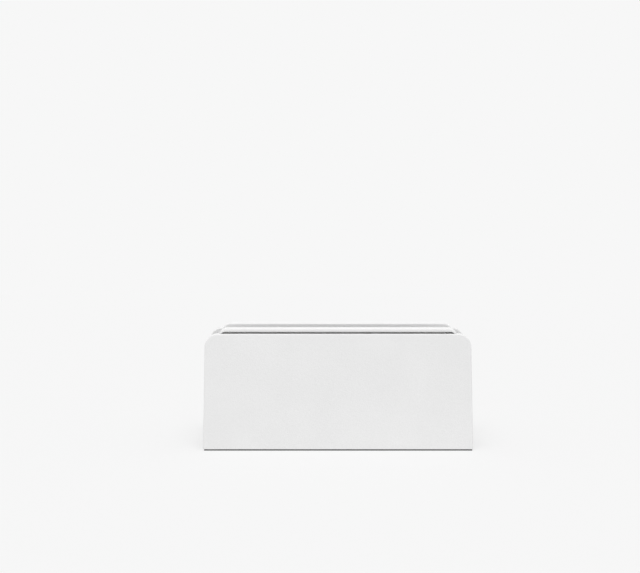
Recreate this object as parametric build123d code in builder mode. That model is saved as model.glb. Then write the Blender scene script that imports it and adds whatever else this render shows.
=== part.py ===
from build123d import *
import os
from math import cos, radians, tan

# A vertical laptop stand with one fixed slot, in millimetres.
# X runs along its width, the front leg faces -Y and Z is up.
# The origin is on the desk, under the middle of the stand.

# Body: one aluminium profile with an M-shaped section, cut to length
stand_width = 177.0
body_height = 73.6
leg_lean = 12.0  # degrees from upright
leg_thickness = 4.0
slot_wall = 3.5
slot_floor = 4.0
floor_clearance = 20.0  # from the desk to the underside of the slot's floor
ridge_depth = 7.5  # from a ridge's top to the point where leg and slot wall part
slot_corner_radius = 2.0
crotch_radius = 1.0  # in the narrow angle between leg and slot wall
corner_radius = 8.4  # at the ends of the ridges, seen from the front
edge_round = 0.8

# Liner: one silicone moulding in the slot, with a rounded lip over each ridge
slot_width = 17.5  # clear, between the liner's walls
liner_wall = 3.0
liner_floor = 3.0
liner_clearance = 0.15  # to each wall of the slot
liner_corner_relief = 1.0  # how much rounder the liner's outer corners are than the slot's
liner_inner_radius = 2.0
liner_inset = 9.0  # from an end of the body to the liner's end
liner_end_radius = 5.6  # at the liner's upper corners, seen from the front
mouth_round = 1.0  # on the slot's rim
lip_thickness = 2.3
lip_end_wall = 1.2  # at the lip's turned-down ends
lip_upper_round = 1.1  # on the lip's upper edge
lip_lower_round = 0.3  # on the lip's lower edge, over the gap
lip_overhang = 4.4  # how far a lip reaches over its ridge
lip_gap = 1.35  # between a ridge's top and the lip above it
lip_seat_clearance = 0.1  # under the lip's turned-down ends

# Foot strips: silicone strips with a rib pressed into a groove in each leg's end
foot_height = 1.0
foot_side_inset = 0.3
foot_end_inset = 0.7
foot_round = 0.25
rib_width = 1.4
rib_height = 2.0
rib_clearance = 0.05
rib_relief = 0.3  # free space above the rib

# Places in the section that follow from the sizes above, as distances from the middle and the desk
slope = tan(radians(leg_lean))
leg_run = leg_thickness / cos(radians(leg_lean))
slot_half = slot_width / 2 + liner_wall + liner_clearance
wall_outside = slot_half + slot_wall
ridge_top = foot_height + body_height
crotch_top = ridge_top - ridge_depth
ridge_outside = wall_outside + leg_run - ridge_depth * slope
base_outside = ridge_outside + body_height * slope
leg_middle = base_outside - leg_run / 2
floor_top = floor_clearance + slot_floor
groove_depth = rib_height + rib_relief
groove_top = foot_height + groove_depth
liner_half = slot_half - liner_clearance
liner_width = stand_width - 2 * liner_inset
liner_floor_top = floor_top + liner_floor
lip_seat = ridge_top + lip_seat_clearance
lip_bottom = ridge_top + lip_gap
lip_top = lip_bottom + lip_thickness
lip_width = liner_wall + liner_clearance + lip_overhang
foot_width = leg_run - 2 * foot_side_inset
foot_length = stand_width - 2 * foot_end_inset

os.makedirs("parts", exist_ok=True)


def is_rounded_end(face):
    """Tell whether a face is a cylinder about an axis along Y."""
    return face.geom_type == GeomType.CYLINDER and face.axis_of_rotation.is_parallel(Axis.Y)


def is_mouth_edge(edge):
    """Tell whether an edge of the liner's outline lies on the inside of its slot."""
    box = edge.bounding_box()
    reach = max(abs(box.min.Y), abs(box.max.Y))
    return reach < (slot_width + liner_wall) / 2 and box.min.Z > liner_floor_top - liner_floor / 2


# Stand body: half the section is drawn and mirrored, then the ridges' ends are rounded
with BuildPart() as stand_body:
    with BuildSketch(Plane.YZ):
        with BuildLine():
            FilletPolyline(
                (0, floor_clearance),
                (-wall_outside, floor_clearance),
                (-wall_outside, crotch_top),
                (-base_outside + leg_run, foot_height),
                (-base_outside, foot_height),
                (-ridge_outside, ridge_top),
                (-slot_half, ridge_top),
                (-slot_half, floor_top),
                (0, floor_top),
                radius=[0, slot_corner_radius + slot_wall, crotch_radius, 0, 0, 0, 0, slot_corner_radius, 0],
                close=True,
            )
        make_face()
        with Locations((-leg_middle, foot_height)):
            Rectangle(
                rib_width + 2 * rib_clearance,
                groove_depth,
                align=(Align.CENTER, Align.MIN),
                mode=Mode.SUBTRACT,
            )
        mirror(about=Plane.YZ)
    extrude(amount=stand_width / 2, both=True)
    with BuildSketch(Plane.XZ) as body_outline:
        with Locations((0, foot_height)):
            Rectangle(stand_width, body_height, align=(Align.CENTER, Align.MIN))
        fillet(body_outline.vertices().group_by(Axis.Y)[-1], corner_radius)
    extrude(amount=base_outside, both=True, mode=Mode.INTERSECT)
    ends = stand_body.faces().filter_by(Axis.X)
    ridge_tops = stand_body.faces().group_by(Axis.Z)[-1]
    rounded_ends = stand_body.faces().filter_by(is_rounded_end)
    seams = rounded_ends.edges().filter_by(Axis.Y)
    outline_edges = (ends + ridge_tops + rounded_ends).edges() - seams
    fillet(outline_edges.filter_by(lambda edge: edge.center().Z > groove_top), edge_round)

stand_body.part.label = "stand_body"
export_step(stand_body.part, "parts/stand_body.step")

# Slot liner: the front half is built with its lip and mirrored, then the slot's rim is rounded
with BuildPart() as slot_liner:
    with BuildSketch(Plane.YZ):
        with BuildLine():
            FilletPolyline(
                (0, floor_top),
                (-liner_half, floor_top),
                (-liner_half, lip_top),
                (-slot_width / 2, lip_top),
                (-slot_width / 2, liner_floor_top),
                (0, liner_floor_top),
                radius=[0, slot_corner_radius + liner_corner_relief, 0, 0, liner_inner_radius, 0],
                close=True,
            )
        make_face()
    extrude(amount=liner_width / 2, both=True)
    with BuildSketch(Plane.XZ) as liner_outline:
        with Locations((0, floor_top)):
            Rectangle(liner_width, lip_top - floor_top, align=(Align.CENTER, Align.MIN))
        fillet(liner_outline.vertices().group_by(Axis.Y)[-1], liner_end_radius)
    extrude(amount=liner_half, mode=Mode.INTERSECT)
    with BuildSketch(Plane.XZ.offset(slot_width / 2)):
        add(liner_outline.sketch_local)
        with Locations((0, lip_seat)):
            Rectangle(liner_width, lip_seat, align=(Align.CENTER, Align.MAX), mode=Mode.SUBTRACT)
    extrude(amount=lip_width)
    lip_front = slot_liner.faces().sort_by(Axis.Y)[0]
    fillet(lip_front.edges().group_by(Axis.Z)[1:], lip_upper_round)
    with BuildSketch(Plane.XZ.offset(liner_half)):
        with Locations((0, lip_bottom)):
            RectangleRounded(
                liner_width - 2 * lip_end_wall,
                lip_bottom - floor_top,
                liner_end_radius - lip_thickness,
                align=(Align.CENTER, Align.MAX),
            )
    extrude(amount=lip_width, mode=Mode.SUBTRACT)
    gap_edges = slot_liner.edges(Select.LAST).group_by(Axis.Y)[0]
    fillet(gap_edges.group_by(Axis.Z)[1:], lip_lower_round)
    mirror(about=Plane.XZ)
    liner_ends = slot_liner.faces().filter_by(Axis.X)
    lip_tops = slot_liner.faces().group_by(Axis.Z)[-1]
    liner_corners = slot_liner.faces().filter_by(is_rounded_end)
    fillet((liner_ends + lip_tops + liner_corners).edges().filter_by(is_mouth_edge), mouth_round)

slot_liner.part.label = "slot_liner"
export_step(slot_liner.part, "parts/slot_liner.step")

# Foot strips: a flat pad under each leg's end, with its rib in the leg's groove
for strip_name, side in (("front_foot_strip", -1), ("rear_foot_strip", 1)):
    with BuildPart() as foot_strip:
        with BuildSketch(Plane.YZ):
            with Locations((side * leg_middle, 0)):
                Rectangle(foot_width, foot_height, align=(Align.CENTER, Align.MIN))
            with Locations((side * leg_middle, foot_height)):
                Rectangle(rib_width, rib_height, align=(Align.CENTER, Align.MIN))
        extrude(amount=foot_length / 2, both=True)
        fillet(foot_strip.faces().sort_by(Axis.Z)[0].edges(), foot_round)
    foot_strip.part.label = strip_name
    export_step(foot_strip.part, f"parts/{strip_name}.step")
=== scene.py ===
"""Dress a vertical laptop stand: its finishes, a pale floor, soft studio light and a camera."""

import math

import bpy
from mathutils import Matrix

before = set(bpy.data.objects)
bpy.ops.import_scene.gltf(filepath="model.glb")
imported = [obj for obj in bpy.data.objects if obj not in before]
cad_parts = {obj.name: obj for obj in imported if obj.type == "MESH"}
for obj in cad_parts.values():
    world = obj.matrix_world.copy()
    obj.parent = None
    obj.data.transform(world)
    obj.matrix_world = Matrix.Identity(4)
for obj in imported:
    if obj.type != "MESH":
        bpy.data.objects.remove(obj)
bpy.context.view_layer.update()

bl_info = {
    "name": "Vertical Laptop Stand",
    "version": (1, 0, 0),
    "blender": (4, 5, 0),
    "location": "3D View > Sidebar > Stand",
    "description": "Finishes the parts of a vertical laptop stand and sets a small studio around it",
    "category": "Object",
}

IMAGE_WIDTH = 640  # pixels

# Most values of a noise texture lie between these two
NOISE_LOW = 0.3
NOISE_HIGH = 0.7

# Polyester powder coat: its resin's IOR, a matt sheen, and how far its cover drifts either way
COAT_IOR = 1.5
COAT_SMOOTHEST = 0.48
COAT_ROUGHEST = 0.58
COAT_DRIFT = 0.1

# Silicone rubber: its IOR, a dead matt surface with a trace of sheen, and how far light goes into it
SILICONE_IOR = 1.41
SILICONE_SMOOTHEST = 0.58
SILICONE_ROUGHEST = 0.7
SILICONE_SHEEN = 0.04
SILICONE_SHEEN_ROUGHNESS = 0.5
SILICONE_LIGHT_REACH = 0.001  # metres
LINER_TRANSLUCENCE = 0.15
FOOT_TRANSLUCENCE = 0.0

# A Mix node's sockets share their names with those of its other types, so they go by number
MIX_FACTOR = 0
MIX_FIRST = 6
MIX_SECOND = 7
MIX_RESULT = 2

# A sun lights alike from any place, so this one only keeps the lamp clear of the stand
LAMP_PLACE = (0.0, -0.3, 1.5)


# Colours, nodes and materials

def linear(hex_colour):
    """Turn an sRGB hex value into the linear red, green, blue and alpha that Blender works in."""
    shares = [int(hex_colour[i:i + 2], 16) / 255 for i in (1, 3, 5)]
    values = [s / 12.92 if s <= 0.04045 else ((s + 0.055) / 1.055) ** 2.4 for s in shares]
    return (*values, 1.0)


def add_node(tree, kind, settings=None, inputs=None):
    """Add a node with its settings; each input is a value, or another node's output to link."""
    added = tree.nodes.new(kind)
    for name, value in (settings or {}).items():
        setattr(added, name, value)
    for name, value in (inputs or {}).items():
        if isinstance(value, bpy.types.NodeSocket):
            tree.links.new(value, added.inputs[name])
        else:
            added.inputs[name].default_value = value
    return added


def start_material(name):
    """Make an empty material and return it with its node tree."""
    material = bpy.data.materials.new(name)
    material.use_nodes = True
    material.node_tree.nodes.clear()
    return material, material.node_tree


def dress(node_name, material):
    """Give a CAD node its finish."""
    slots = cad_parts[node_name].material_slots
    if len(slots) != 1:
        raise RuntimeError(f"{node_name} has {len(slots)} material slots instead of one")
    slots[0].material = material


def powder_coat(finish):
    """Polyester powder coat, sprayed on aluminium and baked: matt white with a faint orange peel."""
    material, tree = start_material("matt_white_powder_coat")
    place = add_node(tree, "ShaderNodeTexCoord").outputs["Object"]
    # The melted powder flows into low ripples, which break up the sheen
    peel = add_node(
        tree,
        "ShaderNodeTexNoise",
        inputs={"Vector": place, "Scale": 1 / finish.peel_width, "Detail": 1.0, "Roughness": 0.4},
    ).outputs["Fac"]
    # The grains of powder are 0.05 mm across, too fine to show, so the grit is drawn coarser
    grit = add_node(
        tree,
        "ShaderNodeTexNoise",
        inputs={"Vector": place, "Scale": 1 / finish.grit_width, "Detail": 2.0, "Roughness": 0.6},
    ).outputs["Fac"]
    # The coat is a little thicker in places, which shifts its tone by about a step in 255
    drift = add_node(
        tree,
        "ShaderNodeTexNoise",
        inputs={"Vector": place, "Scale": 1 / finish.drift_width, "Detail": 1.0},
    ).outputs["Fac"]
    blotch = add_node(
        tree,
        "ShaderNodeMapRange",
        inputs={
            "Value": drift,
            "From Min": NOISE_LOW,
            "From Max": NOISE_HIGH,
            "To Min": -COAT_DRIFT,
            "To Max": COAT_DRIFT,
        },
    ).outputs["Result"]
    # Painted shade: the hollows of the grit are painted a little darker, and the coat's own drift in
    # thickness shifts the tone as well
    drift_and_grit_shade = add_node(
        tree, "ShaderNodeMath", {"operation": "ADD", "use_clamp": True}, {0: grit, 1: blotch}
    ).outputs["Value"]
    tone = add_node(
        tree,
        "ShaderNodeMix",
        {"data_type": "RGBA"},
        {MIX_FACTOR: drift_and_grit_shade, MIX_FIRST: finish.coat_thin_and_grit_shade, MIX_SECOND: finish.coat_colour},
    ).outputs[MIX_RESULT]
    roughness = add_node(
        tree,
        "ShaderNodeMapRange",
        inputs={
            "Value": grit,
            "From Min": NOISE_LOW,
            "From Max": NOISE_HIGH,
            "To Min": COAT_SMOOTHEST,
            "To Max": COAT_ROUGHEST,
        },
    ).outputs["Result"]
    ripple = add_node(
        tree,
        "ShaderNodeBump",
        inputs={"Distance": finish.peel_height, "Height": peel},
    ).outputs["Normal"]
    surface = add_node(
        tree,
        "ShaderNodeBump",
        inputs={"Distance": finish.grit_height, "Height": grit, "Normal": ripple},
    ).outputs["Normal"]
    shader = add_node(
        tree,
        "ShaderNodeBsdfPrincipled",
        inputs={"Base Color": tone, "Roughness": roughness, "IOR": COAT_IOR, "Normal": surface},
    )
    add_node(tree, "ShaderNodeOutputMaterial", inputs={"Surface": shader.outputs["BSDF"]})
    return material


def moulded_silicone(name, colour, dusty_colour, translucence, finish):
    """Silicone rubber from a shot-blasted mould: dead matt, with a fine leather-like pitting."""
    material, tree = start_material(name)
    place = add_node(tree, "ShaderNodeTexCoord").outputs["Object"]
    # The mould's blasted pits are 0.1 mm wide, too fine to show, so they are drawn coarser
    pits = add_node(
        tree,
        "ShaderNodeTexVoronoi",
        {"feature": "SMOOTH_F1"},
        {"Vector": place, "Scale": 1 / finish.pit_width, "Smoothness": 0.6},
    ).outputs["Distance"]
    # Rubber takes up a little dust, so its tone drifts
    dust = add_node(
        tree,
        "ShaderNodeTexNoise",
        inputs={"Vector": place, "Scale": 1 / finish.dust_width, "Detail": 4.0, "Roughness": 0.6},
    ).outputs["Fac"]
    tone = add_node(
        tree,
        "ShaderNodeMix",
        {"data_type": "RGBA"},
        {MIX_FACTOR: dust, MIX_FIRST: colour, MIX_SECOND: dusty_colour},
    ).outputs[MIX_RESULT]
    roughness = add_node(
        tree,
        "ShaderNodeMapRange",
        inputs={
            "Value": dust,
            "From Min": NOISE_LOW,
            "From Max": NOISE_HIGH,
            "To Min": SILICONE_SMOOTHEST,
            "To Max": SILICONE_ROUGHEST,
        },
    ).outputs["Result"]
    surface = add_node(
        tree,
        "ShaderNodeBump",
        inputs={"Distance": finish.pit_depth, "Height": pits},
    ).outputs["Normal"]
    shader = add_node(
        tree,
        "ShaderNodeBsdfPrincipled",
        inputs={
            "Base Color": tone,
            "Roughness": roughness,
            "IOR": SILICONE_IOR,
            "Normal": surface,
            "Subsurface Weight": translucence,
            "Subsurface Scale": SILICONE_LIGHT_REACH,
            "Subsurface Radius": (1.0, 1.0, 1.0),
            "Sheen Weight": SILICONE_SHEEN,
            "Sheen Roughness": SILICONE_SHEEN_ROUGHNESS,
        },
    )
    add_node(tree, "ShaderNodeOutputMaterial", inputs={"Surface": shader.outputs["BSDF"]})
    return material


# Sizes and colours that a user would change

class STAND_PG_finish(bpy.types.PropertyGroup):
    """Colours of the three finishes and the sizes of their textures."""

    coat_colour: bpy.props.FloatVectorProperty(
        name="Coat",
        description="Colour of the powder coat",
        subtype="COLOR",
        size=4,
        min=0.0,
        max=1.0,
        default=linear("#F1F1F1"),
    )
    # This colour also serves as painted shade in the hollows of the coat's grit
    coat_thin_and_grit_shade: bpy.props.FloatVectorProperty(
        name="Thin Coat",
        description="Colour of the powder coat where it is a little thinner",
        subtype="COLOR",
        size=4,
        min=0.0,
        max=1.0,
        default=linear("#E3E3E3"),
    )
    peel_width: bpy.props.FloatProperty(
        name="Peel Width",
        description="Width of one ripple of the coat's orange peel",
        unit="LENGTH",
        precision=5,
        min=0.0001,
        default=0.0022,
    )
    peel_height: bpy.props.FloatProperty(
        name="Peel Height",
        description="Height of the coat's orange peel",
        unit="LENGTH",
        precision=6,
        min=0.0,
        default=0.00004,
    )
    grit_width: bpy.props.FloatProperty(
        name="Grit Width",
        description="Width of the coat's grains as drawn",
        unit="LENGTH",
        precision=5,
        min=0.0001,
        default=0.0007,
    )
    grit_height: bpy.props.FloatProperty(
        name="Grit Height",
        description="Height of the coat's grains",
        unit="LENGTH",
        precision=6,
        min=0.0,
        default=0.0001,
    )
    drift_width: bpy.props.FloatProperty(
        name="Drift Width",
        description="Width of the areas in which the coat's tone drifts",
        unit="LENGTH",
        min=0.001,
        default=0.03,
    )
    liner_colour: bpy.props.FloatVectorProperty(
        name="Liner",
        description="Colour of the slot liner's silicone",
        subtype="COLOR",
        size=4,
        min=0.0,
        max=1.0,
        default=linear("#EFEFEF"),
    )
    liner_dust: bpy.props.FloatVectorProperty(
        name="Dusty Liner",
        description="Colour of the slot liner where it has taken up a little dust",
        subtype="COLOR",
        size=4,
        min=0.0,
        max=1.0,
        default=linear("#EAEAEA"),
    )
    foot_colour: bpy.props.FloatVectorProperty(
        name="Feet",
        description="Colour of the foot strips' silicone",
        subtype="COLOR",
        size=4,
        min=0.0,
        max=1.0,
        default=linear("#3E3E3E"),
    )
    foot_dust: bpy.props.FloatVectorProperty(
        name="Dusty Feet",
        description="Colour of the foot strips where they have taken up a little dust",
        subtype="COLOR",
        size=4,
        min=0.0,
        max=1.0,
        default=linear("#4C4C4C"),
    )
    pit_width: bpy.props.FloatProperty(
        name="Pit Width",
        description="Width of the silicone's moulded pits as drawn",
        unit="LENGTH",
        precision=5,
        min=0.0001,
        default=0.0007,
    )
    pit_depth: bpy.props.FloatProperty(
        name="Pit Depth",
        description="Depth of the silicone's moulded pits",
        unit="LENGTH",
        precision=6,
        min=0.0,
        default=0.00009,
    )
    dust_width: bpy.props.FloatProperty(
        name="Dust Width",
        description="Width of the areas in which the silicone's tone drifts",
        unit="LENGTH",
        min=0.001,
        default=0.012,
    )


class STAND_PG_studio(bpy.types.PropertyGroup):
    """Floor, light and camera."""

    backdrop_colour: bpy.props.FloatVectorProperty(
        name="Backdrop",
        description="Colour of the background behind the stand",
        subtype="COLOR",
        size=4,
        min=0.0,
        max=1.0,
        default=linear("#F7F7F7"),
    )
    floor_colour: bpy.props.FloatVectorProperty(
        name="Floor",
        description="Colour of the floor under the stand",
        subtype="COLOR",
        size=4,
        min=0.0,
        max=1.0,
        default=linear("#EAEAEA"),
    )
    floor_size: bpy.props.FloatProperty(
        name="Floor Size",
        description="Length of the floor's sides",
        unit="LENGTH",
        min=1.0,
        default=30.0,
    )
    fade_start: bpy.props.FloatProperty(
        name="Fade Start",
        description="Distance from the stand at which the floor begins to turn into the backdrop",
        unit="LENGTH",
        min=0.1,
        default=0.35,
    )
    fade_end: bpy.props.FloatProperty(
        name="Fade End",
        description="Distance from the stand at which the floor has turned into the backdrop",
        unit="LENGTH",
        min=0.2,
        default=1.0,
    )
    shadow_depth: bpy.props.FloatProperty(
        name="Shadow Depth",
        description="How much of the stand's shadow the floor shows",
        subtype="FACTOR",
        min=0.0,
        max=1.0,
        default=0.3,
    )
    room_light: bpy.props.FloatProperty(
        name="Room Light",
        description="Strength of the even light from all round",
        min=0.0,
        default=0.62,
    )
    top_light: bpy.props.FloatProperty(
        name="Top Light",
        description="Strength of the broad light overhead",
        min=0.0,
        default=1.62,
    )
    top_tilt: bpy.props.FloatProperty(
        name="Top Light Tilt",
        description="How far the overhead light leans towards the front",
        subtype="ANGLE",
        default=math.radians(15),
    )
    top_spread: bpy.props.FloatProperty(
        name="Top Light Spread",
        description="How broad the overhead light is, seen from the stand",
        subtype="ANGLE",
        default=math.radians(50),
    )
    camera_side: bpy.props.FloatProperty(
        name="Camera Side",
        description="How far the camera stands to the right of the stand's middle",
        unit="LENGTH",
        default=-0.01189,
    )
    camera_distance: bpy.props.FloatProperty(
        name="Camera Distance",
        description="How far the camera stands in front of the stand's middle",
        unit="LENGTH",
        default=0.609,
    )
    camera_height: bpy.props.FloatProperty(
        name="Camera Height",
        description="Height of the camera above the floor",
        unit="LENGTH",
        default=0.1657,
    )
    camera_tilt: bpy.props.FloatProperty(
        name="Camera Tilt",
        description="How far the camera looks down",
        subtype="ANGLE",
        default=math.radians(5.72),
    )
    focal_pixels: bpy.props.FloatProperty(
        name="Focal Length",
        description="Focal length of the camera in pixels of the image",
        min=1.0,
        default=900.0,
    )


# One operator for each piece or pair of like pieces, and one for the studio

class STAND_OT_finish_body(bpy.types.Operator):
    """Give the stand's body its powder coat"""

    bl_idname = "stand.finish_body"
    bl_label = "Finish Body"

    def execute(self, context):
        dress("stand_body", powder_coat(context.scene.stand_finish))
        return {"FINISHED"}


class STAND_OT_finish_liner(bpy.types.Operator):
    """Give the slot liner its white silicone"""

    bl_idname = "stand.finish_liner"
    bl_label = "Finish Liner"

    def execute(self, context):
        finish = context.scene.stand_finish
        silicone = moulded_silicone(
            "moulded_white_silicone", finish.liner_colour, finish.liner_dust, LINER_TRANSLUCENCE, finish
        )
        dress("slot_liner", silicone)
        return {"FINISHED"}


class STAND_OT_finish_feet(bpy.types.Operator):
    """Give the two foot strips their grey silicone"""

    bl_idname = "stand.finish_feet"
    bl_label = "Finish Feet"

    def execute(self, context):
        finish = context.scene.stand_finish
        silicone = moulded_silicone(
            "moulded_grey_silicone", finish.foot_colour, finish.foot_dust, FOOT_TRANSLUCENCE, finish
        )
        dress("front_foot_strip", silicone)
        dress("rear_foot_strip", silicone)
        return {"FINISHED"}


class STAND_OT_set_studio(bpy.types.Operator):
    """Set the floor, the light and the camera"""

    bl_idname = "stand.set_studio"
    bl_label = "Set Studio"

    def execute(self, context):
        studio = context.scene.stand_studio
        self.lay_floor(studio)
        self.light_room(context, studio)
        self.hang_top_light(studio)
        self.place_camera(context, studio)
        context.scene.view_settings.view_transform = "Standard"
        return {"FINISHED"}

    def lay_floor(self, studio):
        """Lay a matt floor that takes the stand's shadow and turns into the backdrop further out."""
        bpy.ops.mesh.primitive_plane_add(size=studio.floor_size)
        floor = bpy.context.object
        floor.name = "studio_floor"
        # Uncoated paper scatters light evenly, so it shows soft shadows and no gloss
        material, tree = start_material("matt_floor_paper")
        place = add_node(tree, "ShaderNodeTexCoord").outputs["Object"]
        reach = add_node(
            tree, "ShaderNodeVectorMath", {"operation": "LENGTH"}, {0: place}
        ).outputs["Value"]
        fade = add_node(
            tree,
            "ShaderNodeMapRange",
            {"interpolation_type": "SMOOTHSTEP"},
            {
                "Value": reach,
                "From Min": studio.fade_start,
                "From Max": studio.fade_end,
                "To Min": 1 - studio.shadow_depth,
            },
        ).outputs["Result"]
        seen = self.seen_ray(tree)
        share = add_node(
            tree, "ShaderNodeMath", {"operation": "MULTIPLY"}, {0: fade, 1: seen}
        ).outputs["Value"]
        paper = add_node(
            tree, "ShaderNodeBsdfDiffuse", inputs={"Color": studio.floor_colour}
        ).outputs["BSDF"]
        backdrop = add_node(
            tree, "ShaderNodeEmission", inputs={"Color": studio.backdrop_colour, "Strength": 1.0}
        ).outputs["Emission"]
        mixed = add_node(
            tree, "ShaderNodeMixShader", inputs={0: share, 1: paper, 2: backdrop}
        ).outputs["Shader"]
        add_node(tree, "ShaderNodeOutputMaterial", inputs={"Surface": mixed})
        floor.data.materials.append(material)

    def seen_ray(self, tree):
        """Return 1 for rays that see the background, straight or in a reflection, and 0 for light."""
        path = add_node(tree, "ShaderNodeLightPath").outputs
        straight = add_node(
            tree,
            "ShaderNodeMath",
            {"operation": "MAXIMUM"},
            {0: path["Is Camera Ray"], 1: path["Is Glossy Ray"]},
        ).outputs["Value"]
        return add_node(
            tree,
            "ShaderNodeMath",
            {"operation": "MAXIMUM"},
            {0: straight, 1: path["Is Transmission Ray"]},
        ).outputs["Value"]

    def light_room(self, context, studio):
        """Fill the room with even white light, behind a backdrop of its own colour."""
        world = bpy.data.worlds.new("studio_room")
        world.use_nodes = True
        tree = world.node_tree
        tree.nodes.clear()
        light = add_node(
            tree,
            "ShaderNodeBackground",
            inputs={"Color": linear("#FFFFFF"), "Strength": studio.room_light},
        ).outputs["Background"]
        backdrop = add_node(
            tree, "ShaderNodeBackground", inputs={"Color": studio.backdrop_colour, "Strength": 1.0}
        ).outputs["Background"]
        mixed = add_node(
            tree, "ShaderNodeMixShader", inputs={0: self.seen_ray(tree), 1: light, 2: backdrop}
        ).outputs["Shader"]
        add_node(tree, "ShaderNodeOutputWorld", inputs={"Surface": mixed})
        context.scene.world = world

    def hang_top_light(self, studio):
        """Hang one broad light overhead, leaning towards the front."""
        bpy.ops.object.light_add(type="SUN", location=LAMP_PLACE, rotation=(studio.top_tilt, 0, 0))
        lamp = bpy.context.object
        lamp.name = "top_light"
        lamp.data.energy = studio.top_light
        lamp.data.angle = studio.top_spread

    def place_camera(self, context, studio):
        """Place the camera in front of the stand, looking slightly down."""
        bpy.ops.object.camera_add(
            location=(studio.camera_side, -studio.camera_distance, studio.camera_height),
            rotation=(math.pi / 2 - studio.camera_tilt, 0, 0),
        )
        camera = bpy.context.object
        camera.name = "camera"
        camera.data.lens = studio.focal_pixels / IMAGE_WIDTH * camera.data.sensor_width
        context.scene.camera = camera


class STAND_PT_sidebar(bpy.types.Panel):
    """Panel in the 3D view's sidebar that lists the steps and their settings"""

    bl_idname = "STAND_PT_sidebar"
    bl_label = "Vertical Laptop Stand"
    bl_space_type = "VIEW_3D"
    bl_region_type = "UI"
    bl_category = "Stand"

    def draw(self, context):
        column = self.layout.column()
        for step in STEPS:
            column.operator(step.bl_idname)
        for group in (context.scene.stand_finish, context.scene.stand_studio):
            column.separator()
            for name in group.__annotations__:
                column.prop(group, name)


STEPS = (STAND_OT_finish_body, STAND_OT_finish_liner, STAND_OT_finish_feet, STAND_OT_set_studio)
CLASSES = (STAND_PG_finish, STAND_PG_studio, *STEPS, STAND_PT_sidebar)


def register():
    """Register the classes and give each scene the stand's settings."""
    for cls in CLASSES:
        bpy.utils.register_class(cls)
    bpy.types.Scene.stand_finish = bpy.props.PointerProperty(type=STAND_PG_finish)
    bpy.types.Scene.stand_studio = bpy.props.PointerProperty(type=STAND_PG_studio)


def unregister():
    """Take the settings and the classes away again."""
    del bpy.types.Scene.stand_studio
    del bpy.types.Scene.stand_finish
    for cls in reversed(CLASSES):
        bpy.utils.unregister_class(cls)


def main():
    """Finish every piece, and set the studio."""
    register()
    bpy.ops.object.select_all(action="DESELECT")
    bpy.ops.stand.finish_body()
    bpy.ops.stand.finish_liner()
    bpy.ops.stand.finish_feet()
    bpy.ops.stand.set_studio()


if __name__ == "__main__":
    main()
